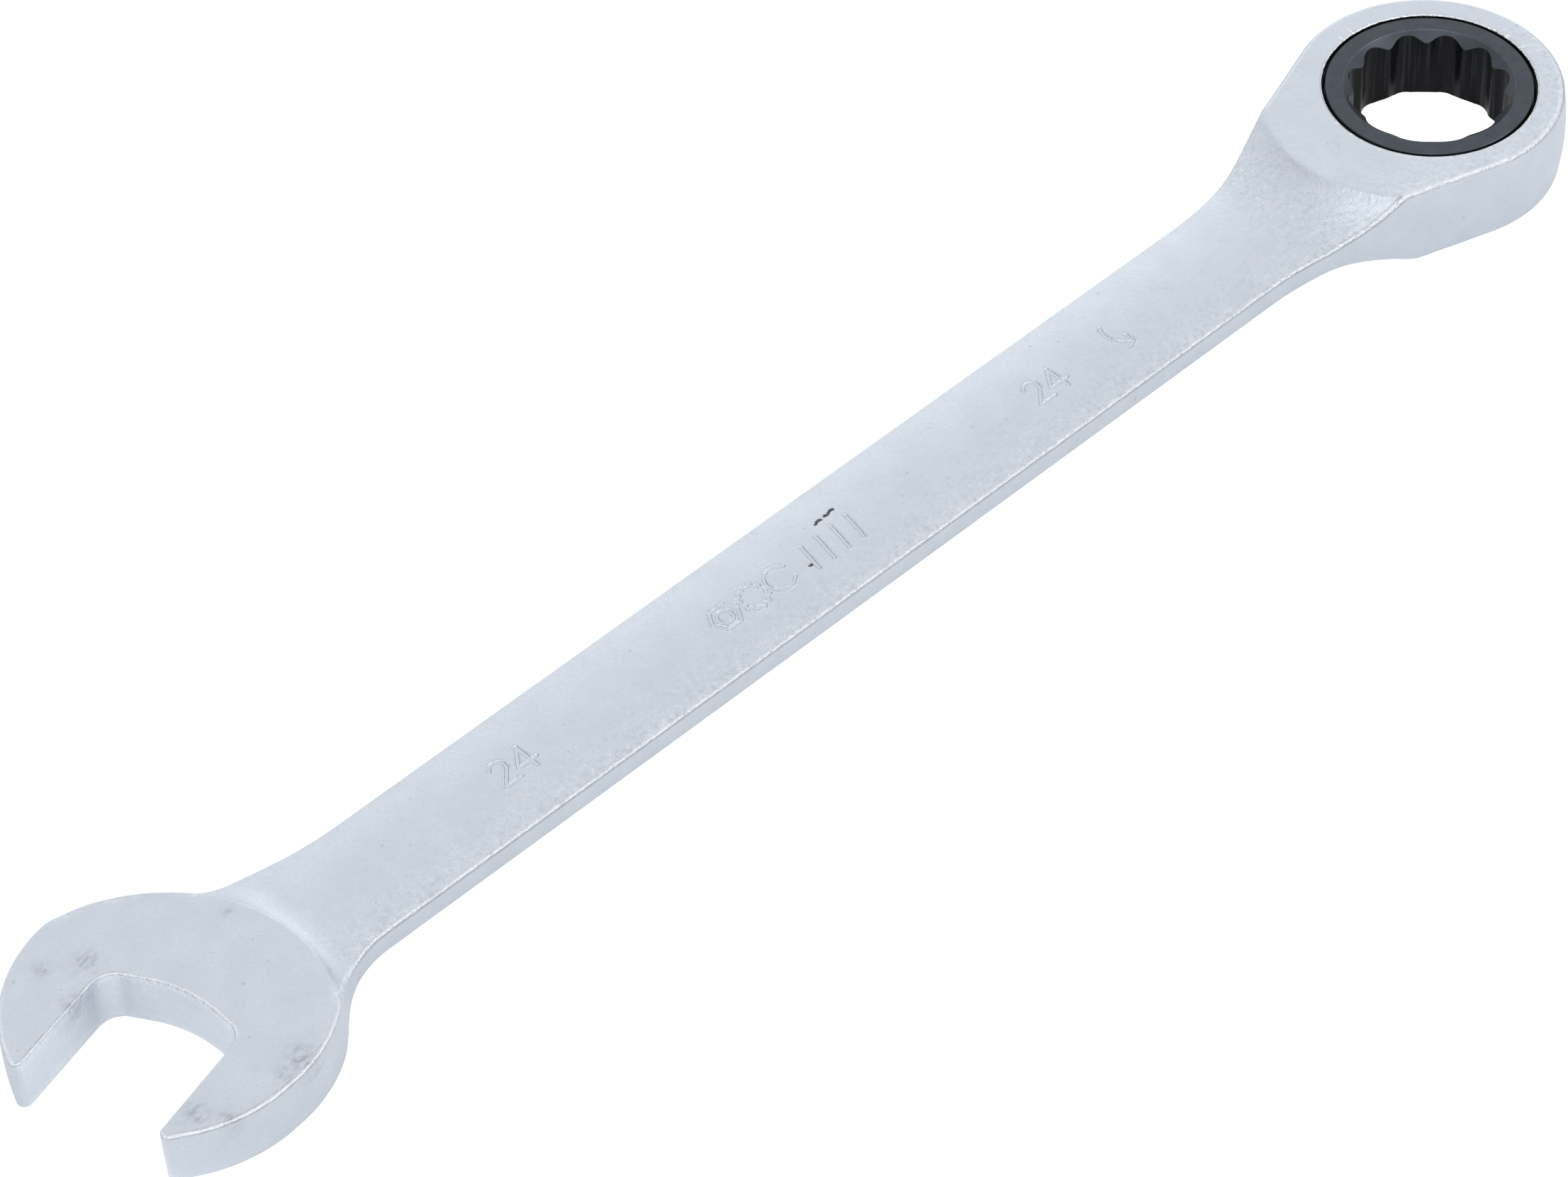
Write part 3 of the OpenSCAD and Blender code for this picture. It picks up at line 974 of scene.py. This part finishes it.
def on_mark_walls(plan):
    """1 along the sloping walls of the pressed marks, falling to 0 beside them."""
    wall = (MARK_FLAT_W + MARK_HALF_W) / 2
    off_wall = abs(stroke_distance(plan, MARK_STROKES) - wall)
    return np.clip(1.4 - off_wall / (MARK_HALF_W - wall), 0, 1)


def rubbed_rim_highlight(plan, inset, outline):
    """How brightly the outer edges are painted, partly as polish from wear and partly as painted
    highlight: most on the heads and on edges that face the camera.
    """
    heads = (plan.real < JAW_END_X) | (plan.real > RING_END_X)
    radius, bulge = edge_shape(outline)
    nearest = np.array([abs(outline - p).argmin() for p in plan])
    past_edge = inset - (radius + bulge)[nearest]
    front = (-inward(outline) * CAMERA_FACING.conjugate()).real[nearest]
    # Edges that face the camera get more of this painted highlight.
    rubbed = np.where(heads, 1.5, 1.1) * np.clip(0.4 + front, 0.1, 1)
    return rubbed * np.clip(0.8 - past_edge / EDGE_ROW, 0, 1)


def paint_body(body):
    """Stores where the wrench is stained and smudged, where its bore gets painted shade, where it
    is worn with painted glints, and where its edges, mark walls and bore mouth get painted
    highlight.
    """
    plan, z = coordinates(body)
    stain, smudge, mark_wall_highlight = np.zeros((3, len(plan)))
    upper = z > 1
    top = mark_zone(plan) & upper
    stain[top] = np.clip(1.25 - stroke_distance(plan[top], DINGS) / DING_HALF_W, 0, 1)
    # The walls of the pressed marks are painted bright: a painted highlight along each stroke.
    mark_wall_highlight[top] = on_mark_walls(plan[top])
    for centre, size in SMUDGES:
        smudge[upper] += np.exp(-abs(plan[upper] - centre) ** 2 / size ** 2)

    # The bore's wall is painted near black as painted shade, so the gap round the drive ring looks
    # dark.
    bore_r, slack = FLANGE_R + RUNNING_GAP, 0.02
    in_bore = (abs(plan) < bore_r + slack) & (abs(z) < RING_TOP - BORE_CHAMFER + slack)
    stain[in_bore] = 1
    # A bright ring painted on the bore's mouth chamfer: a painted highlight.
    off_mouth = abs(abs(plan) - bore_r - 0.4 * BORE_CHAMFER)
    mouth = (off_mouth < 0.6 * BORE_CHAMFER) & (z > RING_TOP - 0.3)

    outline = wrench_outline()
    inset = segment_distance(plan, outline, np.roll(outline, -1))
    slope = np.exp(-((past_ring_flat(plan) - 7) / 5) ** 2)
    near = (plan.imag < 0) & (plan.real > JAW_END_X)
    face = np.where(z > 0, face_height(plan, inset, 1), face_height(plan, inset, -1))
    on_face = np.clip(1.3 - (face - abs(z)) / 0.3, 0, 1)
    # edge: painted highlight on the rims (partly polish from wear), on the mark walls and on the
    # bore's mouth.
    edge = np.maximum(rubbed_rim_highlight(plan, inset, outline) * on_face,
                      np.maximum(mark_wall_highlight, 2.0 * mouth))
    # Worn zone along the near edge and on the ring's neck slope: rougher relief, painted glints and
    # flecks of painted shade.
    worn = np.maximum(np.exp(-inset / 3.5) * near, 0.6 * slope) * on_face
    paint(body, stain=stain, smudge=smudge, edge=edge, worn=worn)


def dress(piece, material):
    piece.data.materials.clear()
    piece.data.materials.append(material)


# ---- Stage, light and camera ----

FLOOR_HALF = 4.0             # metres
FLOOR_GAP = 0.05             # keeps the floor out of the plane of the ring's lower face
WHITE = rgb(1, 1, 1)


def floor_sheet():
    """A large square just under the wrench."""
    mesh = bpy.data.meshes.new("studio_floor")
    shape = bmesh.new()
    z = -(RING_TOP + FLOOR_GAP) * MM
    corners = [shape.verts.new((x * FLOOR_HALF, y * FLOOR_HALF, z))
               for x, y in ((-1, -1), (1, -1), (1, 1), (-1, 1))]
    shape.faces.new(corners)
    shape.to_mesh(mesh)
    shape.free()
    floor = bpy.data.objects.new("studio_floor", mesh)
    bpy.context.scene.collection.objects.link(floor)
    return floor


def build_floor():
    """A white floor that can be seen through from below.

    It shines on the wrench a little, more under the jaw's gap, and past the ring its colour is
    darker, as a painted shade.
    """
    material, n = new_material("floor_white")
    place = n.millimetres()
    past_ring = n.add("ShaderNodeVectorMath", {0: place, 1: (0.66, 0.75, 0)}, output=1,
                      operation="DOT_PRODUCT")
    # Painted shade: the floor's colour is darker past the ring.
    tone = n.mix(n.ramp(past_ring, 8, 24), rgb(0.75, 0.75, 0.75), rgb(0.45, 0.45, 0.45))
    matt = n.add("ShaderNodeBsdfDiffuse", {"Color": tone})
    seen_directly = n.add("ShaderNodeLightPath", output=0)
    gap = in_jaw(13, 5)
    from_gap = n.add("ShaderNodeVectorMath", {0: place, 1: (gap.real, gap.imag, -RING_TOP)},
                     output=1, operation="DISTANCE")
    strength = n.plus(n.times(seen_directly, 0.8), n.ramp(from_gap, 22, 6, 0.19, 0.55))
    glow = n.add("ShaderNodeEmission", {"Color": WHITE, "Strength": strength})
    sheet = n.add("ShaderNodeAddShader", {0: matt, 1: glow})
    behind = n.add("ShaderNodeNewGeometry", output=6)
    clear = n.add("ShaderNodeBsdfTransparent")
    one_sided = n.add("ShaderNodeMixShader", {0: behind, 1: sheet, 2: clear})
    n.add("ShaderNodeOutputMaterial", {"Surface": one_sided})
    floor = floor_sheet()
    dress(floor, material)


LAMP_COLOUR = (1, 0.985, 0.95)
LAMP_DISTANCE = 1.2          # metres


def soft_box(name, direction, size, brightness):
    """A square lamp that faces the wrench; its power grows with its area and its brightness."""
    data = bpy.data.lights.new(name, "AREA")
    data.color = LAMP_COLOUR
    data.size = size
    data.energy = brightness * math.pi * size ** 2
    lamp = bpy.data.objects.new(name, data)
    bpy.context.scene.collection.objects.link(lamp)
    direction = Vector(direction).normalized()
    lamp.location = (cad_bounds[0] + cad_bounds[1]) / 2 + direction * LAMP_DISTANCE
    lamp.rotation_mode = "QUATERNION"
    lamp.rotation_quaternion = direction.to_track_quat("Z", "Y")
    lamp.visible_camera = False


def build_light():
    """A soft white dome with a dim patch behind the handle, and warmer lamps in front of it."""
    world = bpy.data.worlds.new("studio_dome")
    world.use_nodes = True
    bpy.context.scene.world = world
    n = Nodes(world.node_tree)
    direction = n.add("ShaderNodeTexCoord", output=0)
    up = n.add("ShaderNodeSeparateXYZ", {0: direction}, output=2)
    dim_way = Vector((-0.75, 0.5, 0.38)).normalized()
    dim = n.add("ShaderNodeVectorMath", {0: direction, 1: dim_way}, output=1,
                operation="DOT_PRODUCT")
    level = n.minus(n.ramp(up, 0.0, 1.0, 1.0, 0.93), n.ramp(dim, 0.8, 1.0, 0.0, 0.6))
    dome = n.add("ShaderNodeBackground", {"Color": WHITE, "Strength": level})
    n.add("ShaderNodeOutputWorld", {"Surface": dome})
    soft_box("edge_lamp", (0.46, -0.72, 0.52), 0.35, 4)
    soft_box("overhead_lamp", (-0.40, -0.07, 0.93), 0.4, 1.2)
    soft_box("back_lamp", (0.5, 0.75, 0.3), 0.6, 0.3)
    soft_box("low_lamp", (0.8, 0.55, 0.14), 0.5, 0.6)
    soft_box("front_lamp", (-0.46, -0.52, 0.72), 0.4, 2)


def build_camera():
    """A long lens that looks down on the marked face from the jaw's side."""
    azimuth, elevation, roll = (math.radians(a) for a in (-41.522, 46.19, -3.267))
    target, distance, lens = Vector((-0.15039, -0.00087, 0)), 0.7993, 119.11
    back = Vector((math.sin(azimuth) * math.cos(elevation),
                   -math.cos(azimuth) * math.cos(elevation), math.sin(elevation)))
    right = Vector((math.cos(azimuth), math.sin(azimuth), 0))
    up = back.cross(right)
    rolled_right = right * math.cos(roll) + up * math.sin(roll)
    rolled_up = back.cross(rolled_right)
    data = bpy.data.cameras.new("camera")
    data.lens, data.sensor_width = lens, 36
    data.clip_start, data.clip_end = 0.01, 20
    camera = bpy.data.objects.new("camera", data)
    bpy.context.scene.collection.objects.link(camera)
    rotation = Matrix((rolled_right, rolled_up, back)).transposed()
    camera.matrix_world = Matrix.Translation(target + back * distance) @ rotation.to_4x4()
    bpy.context.scene.camera = camera


def main():
    chrome, phosphate = satin_chrome(), black_phosphate()
    hardened, wire, black_wire = tool_steel(), spring_steel(), blackened_wire()

    body = build_body()
    paint_body(body)
    dress(body, chrome)
    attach(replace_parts(body, "wrench_body"), "wrench")

    gear = build_drive_ring()
    dress(gear, phosphate)
    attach(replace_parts(gear, "ratchet_gear"), "drive_ring")

    coil = build_spring()
    dress(coil, wire)
    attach(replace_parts(coil, "pawl_spring"), "wrench")
    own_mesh(coil)

    dress(frame["nodes"]["pawl"], hardened)
    dress(frame["nodes"]["retaining_ring"], black_wire)

    build_floor()
    build_light()
    build_camera()
    bpy.context.scene.view_settings.view_transform = "Standard"


main()
